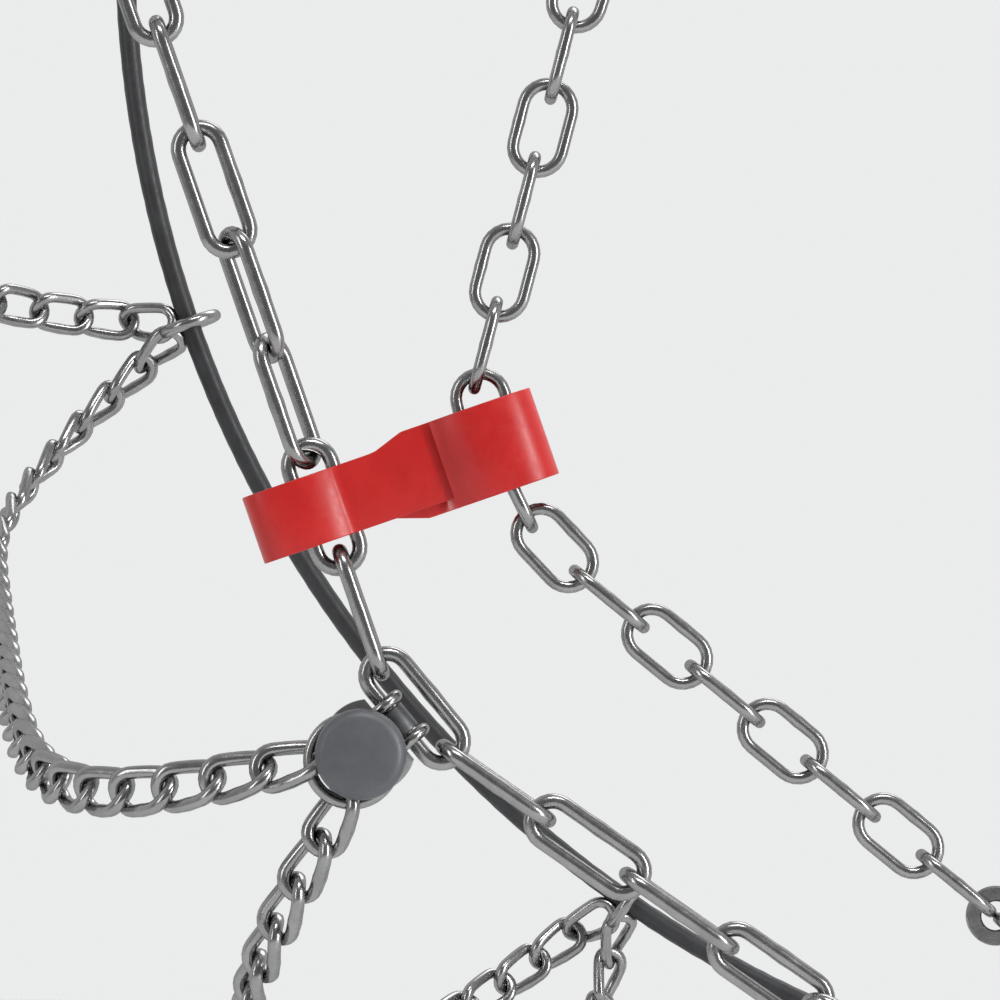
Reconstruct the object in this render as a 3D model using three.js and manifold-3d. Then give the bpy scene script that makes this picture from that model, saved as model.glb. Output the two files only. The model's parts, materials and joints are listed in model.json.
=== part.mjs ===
// Tyre snow chains for one wheel, laid out as they sit on a tyre 684 mm across on an 18 inch wheel.
// Millimetres. The wheel's axle is the Y axis through the origin, the outer side faces -Y, and +Z is up.
// Angles run anticlockwise from +X towards +Z, as seen from the outer side.
import * as THREE from 'three';
import { mergeVertices } from 'three/addons/utils/BufferGeometryUtils.js';
import Module from 'manifold-3d';

const wasm = await Module();
wasm.setup();

// ---- driving dimensions -------------------------------------------------------------------------
const GAP = 0.3; // clearance kept between neighbouring pieces

const SIDE = { wire: 3.0, inner: 21.8, slack: 0.3, halfWidth: 4.2, sides: 6 }; // long narrow link
const TENSION = { wire: 2.4, inner: 14.8, slack: 0.4, halfWidth: 4.75, sides: 6 }; // shorter, wider link
const TREAD = { // twisted tread link
  wire: 2.5, inner: 11.3, slack: 0.6, halfWidth: 3.75, sides: 5, twist: 75, roll: -52, lean: 8,
};
const ARC_STEPS = 6; // facets round each end of a link

const SIDE_RADIUS = 276.8; // wheel axis to the middle of each junction's side link
const SIDE_Y = -119; // plane that the outer side chain lies in
const JUNCTIONS = 10;
const FIRST_JUNCTION = 220.15; // angle of the detailed junction
const LONG_SECTOR = { angle: 40.62, rolls: [90, 0, 90, 0, 60, 120, 0, 90] };
const SHORT_SECTOR = { angle: 31.38, rolls: [90, 0, 90, 0, 60, 120] };
const LINKS_BEFORE = 6; // separate side links before the detailed junction
const LINKS_AFTER = 4; // and after it

const CONNECTOR_OFFSET = 13.3; // junction link's centre to the middle of the round cap
const CAP = { radius: 8.75, thickness: 3.2, edge: 1.1, front: -129.2, sides: 24 };
const PLATE = { radius: 5.4, thickness: 1.4, back: -118.9, bore: 2.8, sides: 16 };
const RIVET = { radius: 2.5, headRadius: 4.0, headThickness: 1.0, sides: 12 };
const HOOK = { radius: 3.1, wire: 2.2, spacing: 4.15, armLength: 5.0, steps: 10, sides: 6 };
const RING = { radius: 8.2, wire: 2.4, offset: 2.2, lift: 1.0, slack: 0.2, steps: 16, sides: 6 };
const PLAIN = { cap: 12, hook: [4, 8], ring: [4, 8] }; // facets of the plainer connectors further round

const BAND_LINK = 2; // side links between the band and the detailed junction
const BAND = {
  thickness: 1.1,
  narrow: 13.4,
  wide: 17.5,
  outerEnd: -14.4, // ends of the band, measured from the side link that it holds towards the wheel's middle
  crease: 3.8,
  rearCrease: 10.5,
  flap: 24.4,
  innerEnd: 44.8,
  stepStart: 15.0, // where the rear layer starts to widen
  reach: 35.0, // side link's centre to the tension link's centre
  sideBulge: 6.0,
  tensionBulge: 7.6,
  tensionShift: 6.0, // how far the tension link in the band sits towards the upper run
  curveSteps: 4,
};

const LOWER_HEADINGS = [-63, -46, -38.6, -38.6, -38.6, -38.6, -38.6, -38.6, -38.6]; // links below the band
const BAND_LINK_HEADING = -74;
const UPPER_HEADING = 76; // links above the band
const UPPER_LINKS = 5;
const TENSION_RUN_RADIUS = 1.8;
const ANCHOR_INDEX = 9; // side link that the lower run ends at
const HOOK_INDEX = 14; // side link that the upper run's end hook reaches
const END_HOOK = { wire: 4.0, inner: 24, slack: 0.8, halfWidth: 6.5, sides: 8 };
const WASHER = { radius: 5.75, hole: 2.8, thickness: 1.5, sides: 20 };

const TREAD_PROFILE = [ // radius and distance from the wheel's middle plane, along the tyre's surface
  [298, 122.4], [312, 118.5], [325, 112], [336, 102], [343.5, 88], [347, 70], [348, 36], [348, 0],
];
const STRAND_START_ANGLE = 1.0; // degrees between a strand's end and the middle of the junction it leaves
const STRAND_BOW = 0.8; // degrees that a strand swings out over each shoulder, where the tyre is narrower
const STRAND_LINKS = 3; // separate links at the start of each of the two detailed strands
const NET_LEAD = 0.016; // clear length between the separate links and the plain strand
const NET_SHORT = 0.93; // a strand that ends at a neighbouring net's ring stops this far along
const STRAND_RUN = { radius: 2.0, sides: 4, steps: 9 };
const CABLE_RING = { radius: 6.5, wire: 3.0, steps: 8, sides: 4 };

const CABLE = { radius: 285, y: 117, thickness: 5.0, steps: 60, sides: 8 };
const SLEEVE = { inner: 3.4, outer: 5.5, length: 30, sides: 14, angle: 88 };

// ---- materials ------------------------------------------------------------------------------------
const steel = () => new THREE.MeshStandardMaterial({ color: 0x8c8d8c, roughness: 0.32, metalness: 0.95 });
const greyCap = () => new THREE.MeshStandardMaterial({ color: 0x5e6064, roughness: 0.5, metalness: 0.6 });
const redPlastic = () => new THREE.MeshStandardMaterial({ color: 0xaf2626, roughness: 0.4, metalness: 0 });
const coatedCable = () => new THREE.MeshStandardMaterial({ color: 0x2b2c2e, roughness: 0.5, metalness: 0.2 });

// ---- small helpers ----------------------------------------------------------------------------------
const { degToRad } = THREE.MathUtils;
const OUTWARD = new THREE.Vector3(0, -1, 0);
const pitchOf = (link) => link.inner - link.slack;
const polar = (angle, radius, y) =>
  new THREE.Vector3(radius * Math.cos(degToRad(angle)), y, radius * Math.sin(degToRad(angle)));
const heading = (angle) => polar(angle, 1, 0);

const group = new THREE.Group();
function addPart(name, geometry, material, matrix) {
  const mesh = new THREE.Mesh(geometry, material);
  mesh.name = name;
  if (matrix) matrix.decompose(mesh.position, mesh.quaternion, mesh.scale);
  group.add(mesh);
  return mesh;
}

// A frame whose x axis runs along a piece, and whose z axis is turned from `up` by `roll` degrees about x.
function frameAlong(centre, along, up, roll = 0) {
  const x = along.clone().normalize();
  const y = new THREE.Vector3().crossVectors(up, x).normalize();
  const z = new THREE.Vector3().crossVectors(x, y);
  const frame = new THREE.Matrix4().makeBasis(x, y, z).setPosition(centre);
  return frame.multiply(new THREE.Matrix4().makeRotationX(degToRad(roll)));
}

function toSolid(geometry) {
  const bare = geometry.index ? geometry.toNonIndexed() : geometry.clone();
  bare.deleteAttribute('normal');
  bare.deleteAttribute('uv');
  const merged = mergeVertices(bare, 1e-4);
  const vertProperties = new Float32Array(merged.attributes.position.array);
  const triVerts = new Uint32Array(merged.index.array);
  return new wasm.Manifold(new wasm.Mesh({ numProp: 3, vertProperties, triVerts }));
}

function toGeometry(solid) {
  const mesh = solid.getMesh();
  const geometry = new THREE.BufferGeometry();
  geometry.setAttribute('position', new THREE.BufferAttribute(new Float32Array(mesh.vertProperties), 3));
  geometry.setIndex(new THREE.BufferAttribute(new Uint32Array(mesh.triVerts), 1));
  geometry.computeVertexNormals();
  return geometry;
}

const joined = (geometries) => toGeometry(geometries.map(toSolid).reduce((a, b) => a.add(b)));

// ---- chain links ------------------------------------------------------------------------------------
// The middle line of a link's wire: two straight rods and two round ends, with an optional twist.
class LinkCurve extends THREE.Curve {
  constructor({ wire, inner, halfWidth, twist = 0 }) {
    super();
    this.halfWidth = halfWidth;
    this.reach = (inner + wire) / 2;
    this.twist = degToRad(twist);
  }

  getPoint(t, target = new THREE.Vector3()) {
    const straight = this.reach - this.halfWidth;
    const step = t * 2 * (ARC_STEPS + 1);
    const end = step < ARC_STEPS + 1 ? 1 : -1;
    const local = step % (ARC_STEPS + 1);
    const turn = (Math.min(local, ARC_STEPS) / ARC_STEPS - 0.5) * Math.PI;
    const slide = Math.max(local - ARC_STEPS, 0) * 2 * straight;
    const x = end * (straight + this.halfWidth * Math.cos(turn) - slide);
    const y = end * this.halfWidth * Math.sin(turn);
    const angle = (this.twist / 2) * (x / this.reach);
    return target.set(x, y * Math.cos(angle), y * Math.sin(angle));
  }

  getPointAt(t, target) {
    return this.getPoint(t, target);
  }

  getTangentAt(t, target) {
    return this.getTangent(t, target);
  }
}

function linkGeometry(link) {
  return new THREE.TubeGeometry(new LinkCurve(link), 2 * (ARC_STEPS + 1), link.wire / 2, link.sides, true);
}

// A rod that passes through each of the given points with a mitred bend at each one.
class RouteCurve extends THREE.Curve {
  constructor(points) {
    super();
    this.points = points;
  }

  getPointAt(t, target = new THREE.Vector3()) {
    const last = this.points.length - 1;
    const index = Math.min(Math.floor(t * last + 1e-6), last - 1);
    return target.lerpVectors(this.points[index], this.points[index + 1], t * last - index);
  }

  getTangentAt(t, target = new THREE.Vector3()) {
    const last = this.points.length - 1;
    const index = Math.round(t * last);
    const before = this.points[Math.max(index - 1, 0)];
    const here = this.points[index];
    const after = this.points[Math.min(index + 1, last)];
    const arriving = here.clone().sub(before).normalize();
    const leaving = after.clone().sub(here).normalize();
    return target.copy(arriving).add(leaving).normalize();
  }
}

function rodGeometry(points, radius, sides) {
  const outline = [];
  for (let i = 0; i < sides; i++) {
    const angle = (2 * Math.PI * (i + 0.5)) / sides;
    outline.push(new THREE.Vector2(radius * Math.cos(angle), radius * Math.sin(angle)));
  }
  const options = { steps: points.length - 1, extrudePath: new RouteCurve(points) };
  return new THREE.ExtrudeGeometry(new THREE.Shape(outline), options);
}

// ---- outer side chain ---------------------------------------------------------------------------------
const sectorAfter = (junction) => (junction % 2 ? LONG_SECTOR : SHORT_SECTOR);
function junctionAngle(junction) {
  const pairs = Math.floor(junction / 2) * (LONG_SECTOR.angle + SHORT_SECTOR.angle);
  return FIRST_JUNCTION + pairs + (junction % 2 ? SHORT_SECTOR.angle : 0);
}

const cornerLink = (junction) => ({
  centre: polar(junctionAngle(junction), SIDE_RADIUS, SIDE_Y),
  along: heading(junctionAngle(junction) + 90),
  roll: 0,
});

// Side links of one sector: the junction's own link, then the straight run to the next junction.
function sectorLinks(junction) {
  const first = cornerLink(junction);
  const last = cornerLink(junction + 1);
  const half = pitchOf(SIDE) / 2;
  const start = first.centre.clone().addScaledVector(first.along, half);
  const end = last.centre.clone().addScaledVector(last.along, -half);
  const { rolls } = sectorAfter(junction);
  const straight = rolls.map((roll, index) => ({
    centre: start.clone().lerp(end, (index + 0.5) / rolls.length),
    along: end.clone().sub(start).normalize(),
    roll,
  }));
  return [first, ...straight];
}

const sideLinks = [];
for (let junction = 0; junction < JUNCTIONS; junction++) {
  sideLinks.push(...sectorLinks(junction));
}
const sideLink = (index) => sideLinks[(index + sideLinks.length) % sideLinks.length];

function buildSideChain() {
  for (let index = -LINKS_BEFORE; index <= LINKS_AFTER; index++) {
    const { centre, along, roll } = sideLink(index);
    const number = String(index + LINKS_BEFORE + 1).padStart(2, '0');
    const frame = frameAlong(centre, along, OUTWARD, roll);
    addPart(`side_chain_link_${number}`, linkGeometry(SIDE), steel(), frame);
  }
  const first = sideLink(LINKS_AFTER + 1);
  const last = sideLink(-LINKS_BEFORE - 1);
  const inset = SIDE.wire;
  const points = [first.centre.clone().addScaledVector(first.along, inset - pitchOf(SIDE) / 2)];
  for (let junction = 1; junction < JUNCTIONS; junction++) {
    const { centre, along } = cornerLink(junction);
    const outerRod = centre.clone().addScaledVector(heading(junctionAngle(junction)), SIDE.halfWidth);
    points.push(outerRod.clone().addScaledVector(along, -pitchOf(SIDE) / 2));
    points.push(outerRod.clone().addScaledVector(along, pitchOf(SIDE) / 2));
  }
  points.push(last.centre.clone().addScaledVector(last.along, pitchOf(SIDE) / 2 - inset));
  addPart('side_chain_far_run', rodGeometry(points, SIDE.wire / 2, SIDE.sides), steel());
}

// ---- junction connectors ------------------------------------------------------------------------------
// Local frame of a connector: x outwards from the axle, z away from the wheel, origin at the cap's middle.
function connectorFrame(junction) {
  const angle = junctionAngle(junction);
  return frameAlong(polar(angle, SIDE_RADIUS + CONNECTOR_OFFSET, 0), heading(angle), OUTWARD);
}

// A turned piece about the local z axis, from radius and height pairs.
function turned(profile, sides) {
  const outline = profile.map(([radius, height]) => new THREE.Vector2(radius, height));
  return new THREE.LatheGeometry(outline, sides).rotateX(Math.PI / 2);
}

function capGeometry(sides) {
  const front = -CAP.front;
  const back = front - CAP.thickness;
  const { radius, edge } = CAP;
  const corner = edge * (1 - Math.SQRT1_2);
  const profile = [
    [0, back], [radius - 0.4, back], [radius, back + 0.4], [radius, front - edge],
    [radius - corner, front - corner], [radius - edge, front], [0, front],
  ];
  return turned(profile, sides);
}

function plateGeometry(sides) {
  const back = -PLATE.back;
  const front = back + PLATE.thickness;
  const ring = [[PLATE.bore, back], [PLATE.radius, back], [PLATE.radius, front], [PLATE.bore, front]];
  return turned([...ring, ring[0]], sides);
}

// Two wire eyes round the junction link's outer rod, each with an arm that joins it to the back plate.
function hookGeometries([wireSides, steps]) {
  const rodAt = SIDE.halfWidth - CONNECTOR_OFFSET;
  return [-1, 1].flatMap((side) => {
    const eye = new THREE.TorusGeometry(HOOK.radius, HOOK.wire / 2, wireSides, steps);
    eye.rotateX(Math.PI / 2).translate(rodAt, side * HOOK.spacing, -SIDE_Y);
    const arm = new THREE.BoxGeometry(HOOK.armLength, HOOK.wire * 0.8, PLATE.thickness * 0.8);
    const armAt = rodAt + HOOK.radius + HOOK.armLength / 2;
    arm.translate(armAt, side * HOOK.spacing, PLATE.thickness / 2 - PLATE.back);
    return [eye, arm];
  });
}

function rivetGeometry() {
  const foot = -PLATE.back - GAP;
  const front = -CAP.front - CAP.thickness - GAP;
  const profile = [
    [0, foot - RIVET.headThickness], [RIVET.headRadius, foot - RIVET.headThickness],
    [RIVET.headRadius, foot], [RIVET.radius, foot], [RIVET.radius, front], [0, front],
  ];
  return turned(profile, RIVET.sides);
}

const ringHeight = -PLATE.back + PLATE.thickness + RING.lift + GAP + RING.wire / 2;
function ringGeometry([wireSides, steps]) {
  const ring = new THREE.TorusGeometry(RING.radius, RING.wire / 2, wireSides, steps);
  return ring.translate(RING.offset, 0, ringHeight);
}

function buildConnectors() {
  const frame = connectorFrame(0);
  const hookPlate = joined([plateGeometry(PLATE.sides), ...hookGeometries([HOOK.sides, HOOK.steps])]);
  addPart('connector_1_cap', capGeometry(CAP.sides), greyCap(), frame);
  addPart('connector_1_hook_plate', hookPlate, steel(), frame);
  addPart('connector_1_rivet', rivetGeometry(), steel(), frame);
  addPart('connector_1_strand_ring', ringGeometry([RING.sides, RING.steps]), steel(), frame);

  const coreLength = -CAP.front - CAP.thickness + PLATE.back;
  const core = new THREE.CylinderGeometry(PLATE.bore + GAP, PLATE.bore + GAP, coreLength + 1, PLAIN.cap);
  core.rotateX(Math.PI / 2).translate(0, 0, coreLength / 2 - PLATE.back + GAP);
  const plate = plateGeometry(PLAIN.cap);
  const whole = joined([capGeometry(PLAIN.cap), plate, ...hookGeometries(PLAIN.hook), core]);
  for (let junction = 1; junction < JUNCTIONS; junction++) {
    addPart(`connector_${junction + 1}`, whole.clone(), greyCap(), connectorFrame(junction));
  }
}

// ---- red guide bands ----------------------------------------------------------------------------------
// Local frame of a band: x runs from its side link towards the wheel's middle, y along the side chain,
// and z away from the wheel. Each layer is half the band's thickness either side of its middle line.
// A solid that fills a closed path drawn in x and z, and is `width` wide along y.
function crosswise(path, width) {
  const outline = path.getPoints(BAND.curveSteps).slice(0, -1); // the last point repeats the first
  const solid = new THREE.ExtrudeGeometry(new THREE.Shape(outline), { depth: width, bevelEnabled: false });
  return toSolid(solid.rotateX(Math.PI / 2).translate(0, width / 2, 0));
}

function bandGeometry() {
  const { outerEnd, crease, rearCrease, flap, innerEnd, sideBulge, tensionBulge, thickness } = BAND;
  const front = new THREE.Path();
  const webTop = SIDE.wire / 2 + GAP + thickness;
  const webBottom = webTop - 2 * thickness;
  const sideBack = -SIDE.wire / 2 - GAP - thickness;
  const sideEdge = SIDE.halfWidth + SIDE.wire / 2;
  const loopMiddle = (flap + innerEnd) / 2;
  front.moveTo(outerEnd, 0);
  front.bezierCurveTo(outerEnd, sideBulge * 0.75, outerEnd + 4, sideBulge, outerEnd + 8.5, sideBulge);
  front.quadraticCurveTo(crease - 4, sideBulge, crease, webTop);
  front.lineTo(flap, webTop);
  front.bezierCurveTo(flap + 1, tensionBulge * 0.9, flap + 4, tensionBulge, loopMiddle, tensionBulge);
  front.bezierCurveTo(innerEnd - 4, tensionBulge, innerEnd, tensionBulge * 0.6, innerEnd, 0);
  front.bezierCurveTo(innerEnd, -tensionBulge * 0.6, innerEnd - 4, -tensionBulge, loopMiddle, -tensionBulge);
  front.bezierCurveTo(flap + 4, -tensionBulge, flap + 1, -tensionBulge * 0.9, flap - 4, webBottom);
  front.lineTo(rearCrease, webBottom);
  front.quadraticCurveTo(rearCrease - 1.9, sideBack, sideEdge, sideBack);
  front.lineTo(crease - 6, sideBack);
  front.quadraticCurveTo(outerEnd, sideBack, outerEnd, 0);

  const sideHole = new THREE.Path();
  sideHole.moveTo(outerEnd + thickness, 0);
  sideHole.bezierCurveTo(
    outerEnd + thickness, sideBulge * 0.75 - 0.6, outerEnd + 4.4, sideBulge - thickness,
    outerEnd + 8.5, sideBulge - thickness,
  );
  sideHole.quadraticCurveTo(crease - 4.4, sideBulge - thickness, crease - 0.3, webTop - thickness);
  sideHole.lineTo(rearCrease - 1.2, webTop - thickness - 0.1);
  sideHole.quadraticCurveTo(rearCrease - 2.9, sideBack + thickness, sideEdge + 0.2, sideBack + thickness);
  sideHole.lineTo(crease - 6, sideBack + thickness);
  sideHole.quadraticCurveTo(outerEnd + thickness, sideBack + thickness, outerEnd + thickness, 0);

  const tensionHole = new THREE.Path();
  const bulge = tensionBulge - thickness;
  const end = innerEnd - thickness;
  tensionHole.moveTo(flap - 0.8, webTop - thickness);
  tensionHole.bezierCurveTo(flap + 2.4, bulge * 0.9, flap + 4.6, bulge, loopMiddle, bulge);
  tensionHole.bezierCurveTo(end - 4, bulge, end, bulge * 0.6, end, 0);
  tensionHole.bezierCurveTo(end, -bulge * 0.6, end - 4, -bulge, loopMiddle, -bulge);
  tensionHole.bezierCurveTo(flap + 4.6, -bulge, flap + 2.4, -bulge * 0.9, flap - 0.8, webTop - thickness);

  const strip = crosswise(front, BAND.wide);
  const hollows = [sideHole, tensionHole].map((path) => crosswise(path, BAND.wide + 2));
  const trimDepth = (BAND.wide - BAND.narrow) / 2;
  const trims = [-1, 1].map((side) => {
    const trim = new THREE.BoxGeometry(BAND.stepStart - outerEnd + 10, trimDepth + 10, 40);
    const middle = (side * (BAND.wide + 10 - trimDepth)) / 2;
    return toSolid(trim.translate((BAND.stepStart + outerEnd - 10) / 2, middle, 0));
  });
  return toGeometry([...hollows, ...trims].reduce((solid, cut) => solid.subtract(cut), strip));
}

// The frame of the band that holds the side link of the given index.
function bandFrame(index) {
  const { centre, along } = sideLink(index);
  const inwards = new THREE.Vector3().crossVectors(OUTWARD, along);
  return frameAlong(centre, inwards, OUTWARD);
}
const bandPoint = (index, x, y = 0) => new THREE.Vector3(x, y, 0).applyMatrix4(bandFrame(index));

const BAND_INDICES = [-BAND_LINK, -23, -44]; // side links that the bands hold, counted from the junction
function buildBands() {
  BAND_INDICES.forEach((index, number) => {
    addPart(`red_band_${number + 1}`, bandGeometry(), redPlastic(), bandFrame(index));
  });
}

// ---- tensioning chain ---------------------------------------------------------------------------------
function chainFrom(start, headings, link) {
  let contact = start.clone();
  return headings.map((angle, index) => {
    const along = heading(angle);
    const centre = contact.clone().addScaledVector(along, pitchOf(link) / 2);
    contact = contact.clone().addScaledVector(along, pitchOf(link));
    return { centre, along, roll: index % 2 ? 0 : 90, contact };
  });
}

function buildTensionChain() {
  const half = pitchOf(TENSION) / 2;
  const corner = bandPoint(BAND_INDICES[0], BAND.reach, BAND.tensionShift);
  const bandAlong = heading(BAND_LINK_HEADING);
  const lowerStart = corner.clone().addScaledVector(bandAlong, half);
  const upperStart = corner.clone().addScaledVector(bandAlong, -half);
  const through = BAND.wide / 2 + 3;
  const upper = chainFrom(upperStart, Array(UPPER_LINKS).fill(UPPER_HEADING), TENSION);
  const lower = chainFrom(lowerStart, LOWER_HEADINGS, TENSION);
  const all = [...upper].reverse().concat([{ centre: corner, along: bandAlong, roll: 0 }], lower);
  all.forEach(({ centre, along, roll }, index) => {
    const number = String(index + 1).padStart(2, '0');
    const frame = frameAlong(centre, along, OUTWARD, roll);
    addPart(`tension_link_${number}`, linkGeometry(TENSION), steel(), frame);
  });

  const last = lower[lower.length - 1];
  const washerAt = last.contact.clone().addScaledVector(last.along, GAP / 2 + TENSION.wire / 2 + 1.35);
  const { radius, hole, thickness, sides } = WASHER;
  const profile = [[hole, 0], [radius, 0], [radius, thickness], [hole, thickness], [hole, 0]];
  const washer = turned(profile, sides).translate(0, 0, -thickness / 2);
  addPart('tension_washer', washer, steel(), frameAlong(washerAt, last.along, OUTWARD));

  const anchor = bandPoint(ANCHOR_INDEX, SIDE.halfWidth + SIDE.wire / 2 + TENSION_RUN_RADIUS + GAP);
  const away = anchor.clone().sub(washerAt).normalize();
  const shortRun = [washerAt.clone().addScaledVector(away, WASHER.radius + GAP), anchor];
  addPart('tension_short_run', rodGeometry(shortRun, TENSION_RUN_RADIUS, TENSION.sides), steel());

  const top = upper[upper.length - 1];
  const topStart = top.contact.clone().addScaledVector(top.along, TENSION.wire + GAP);
  const guided = BAND_INDICES.slice(1).flatMap((index) =>
    [-through, through].map((y) => bandPoint(index, BAND.reach, y)),
  );
  const hookAt = bandPoint(HOOK_INDEX, (pitchOf(END_HOOK) - SIDE.wire) / 2 - SIDE.halfWidth);
  const hookStart = bandPoint(HOOK_INDEX, END_HOOK.inner + 1.5 * END_HOOK.wire - SIDE.halfWidth);
  const longRun = [topStart, ...guided, hookStart];
  addPart('tension_long_run', rodGeometry(longRun, TENSION_RUN_RADIUS, TENSION.sides), steel());

  // The end hook clips round the side chain, with its long way towards the run that it ends.
  const hookAlong = hookAt.clone().sub(hookStart);
  addPart('tension_end_hook', linkGeometry(END_HOOK), steel(), frameAlong(hookAt, hookAlong, OUTWARD, 90));
}

// ---- tread net ------------------------------------------------------------------------------------------
const outerHalf = TREAD_PROFILE.map(([radius, away]) => new THREE.Vector3(radius, -away, 0));
const innerHalf = TREAD_PROFILE.slice(0, -1).map(([radius, away]) => new THREE.Vector3(radius, away, 0));
const treadProfile = new THREE.CatmullRomCurve3([...outerHalf, ...innerHalf.reverse()]);

// A point of the strand that crosses the tyre from a junction's ring to the cable's ring halfway to the
// junction before (side -1) or after it (side 1).
function strandPoint(junction, side, fraction) {
  const middle = (junctionAngle(junction) + junctionAngle(junction + side)) / 2;
  const start = junctionAngle(junction) + side * STRAND_START_ANGLE;
  const bow = side * STRAND_BOW * Math.sin(2 * Math.PI * fraction);
  const angle = THREE.MathUtils.lerp(start, middle - side * STRAND_START_ANGLE, fraction) + bow;
  const { x: radius, y } = treadProfile.getPointAt(fraction);
  return polar(angle, radius, y);
}

const surfaceNormal = (point) => new THREE.Vector3(point.x, 0, point.z).normalize();

// One strand as a plain rod. A whole one ends at the ring on the cable.
function strandRod(junction, side, from, to) {
  const points = [];
  for (let i = 0; i <= STRAND_RUN.steps; i++) {
    points.push(strandPoint(junction, side, THREE.MathUtils.lerp(from, to, i / STRAND_RUN.steps)));
  }
  if (to === 1) points.push(cableRingTop(junction + (side - 1) / 2));
  return rodGeometry(points, STRAND_RUN.radius, STRAND_RUN.sides);
}

const cableRingAngle = (junction) => (junctionAngle(junction) + junctionAngle(junction + 1)) / 2;
const cableRingTop = (junction) => polar(cableRingAngle(junction), CABLE.radius + CABLE_RING.radius, CABLE.y);

// The ring on the inner cable where the strands of a junction and the next one meet.
function cableRing(junction) {
  const angle = cableRingAngle(junction);
  return new THREE.TorusGeometry(CABLE_RING.radius, CABLE_RING.wire / 2, CABLE_RING.sides, CABLE_RING.steps)
    .applyMatrix4(frameAlong(polar(angle, CABLE.radius, CABLE.y), heading(angle), heading(angle + 90)));
}

// How far along a strand the point lies that is one distance away from `start`, by halving.
function fractionAt(start, distance, side) {
  let low = 0;
  let high = 1;
  for (let i = 0; i < 24; i++) {
    const middle = (low + high) / 2;
    if (strandPoint(0, side, middle).distanceTo(start) < distance) low = middle;
    else high = middle;
  }
  return low;
}

const strandRingSolid = (junction) => ringGeometry(PLAIN.ring).applyMatrix4(connectorFrame(junction));

// The separate links of both detailed strands. Returns how far along its strand the last one ends.
function buildTreadLinks() {
  const ringCentre = new THREE.Vector3(RING.offset, 0, ringHeight).applyMatrix4(connectorFrame(0));
  let fraction = 0;
  [-1, 1].forEach((side) => {
    const pull = strandPoint(0, side, 0).sub(ringCentre).normalize();
    let start = ringCentre.clone().addScaledVector(pull, RING.radius - (RING.wire + RING.slack) / 2);
    for (let index = 0; index < STRAND_LINKS; index++) {
      fraction = fractionAt(start, pitchOf(TREAD), side);
      const end = strandPoint(0, side, fraction);
      const centre = start.clone().lerp(end, 0.5);
      const up = surfaceNormal(centre).lerp(OUTWARD, 0.75 - index * 0.15).normalize();
      const name = `tread_link_${side < 0 ? 'upper' : 'lower'}_${index + 1}`;
      const frame = frameAlong(centre, end.clone().sub(start), up, TREAD.roll - side * TREAD.lean);
      addPart(name, linkGeometry(TREAD), steel(), frame);
      start = end;
    }
  });
  return fraction;
}

// The net is five equal pieces, each with two junctions' strands and the cable rings that follow them. The
// detailed junction's strands start where their separate links end, and its nearer one is in the last piece.
function buildTreadNet(linksEnd) {
  for (let pair = 0; pair < JUNCTIONS / 2; pair++) {
    const pieces = [];
    [2 * pair, 2 * pair + 1].forEach((junction) => {
      if (junction) {
        pieces.push(strandRingSolid(junction), strandRod(junction, -1, 0, junction % 2 ? 1 : NET_SHORT));
      }
      pieces.push(strandRod(junction, 1, junction ? 0 : linksEnd + NET_LEAD, 1), cableRing(junction));
    });
    if (pair === JUNCTIONS / 2 - 1) pieces.push(strandRod(JUNCTIONS, -1, linksEnd + NET_LEAD, 1));
    addPart(`tread_net_${pair + 1}`, joined(pieces), steel());
  }
}

// ---- inner cable ----------------------------------------------------------------------------------------
function buildInnerCable() {
  const { radius, y, thickness, steps, sides } = CABLE;
  const hoop = new THREE.TorusGeometry(radius, thickness / 2, sides, steps).rotateX(Math.PI / 2);
  addPart('inner_cable', hoop.translate(0, y, 0), coatedCable());
  const half = SLEEVE.length / 2;
  const { inner, outer } = SLEEVE;
  const profile = [[inner, -half], [outer, -half], [outer, half], [inner, half], [inner, -half]];
  const frame = frameAlong(polar(SLEEVE.angle, radius, y), OUTWARD, heading(SLEEVE.angle + 90));
  addPart('inner_cable_coupler', turned(profile, SLEEVE.sides), steel(), frame);
}

buildSideChain();
buildConnectors();
buildBands();
buildTensionChain();
buildTreadNet(buildTreadLinks());
buildInnerCable();

export default group;
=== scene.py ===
"""Tyre snow chains for one wheel, laid out as they sit on the tyre: the looks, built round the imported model.

Shapes are worked out in millimetres in the model's own frame and put into Blender in metres. The wheel's
axle is the Y axis through the origin, the outer side faces -Y, and +Z is up. Angles run anticlockwise from
+X towards +Z, as seen from the outer side.
"""
import json
import math

import bmesh
import bpy
import numpy as np
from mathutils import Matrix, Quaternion, Vector


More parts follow.
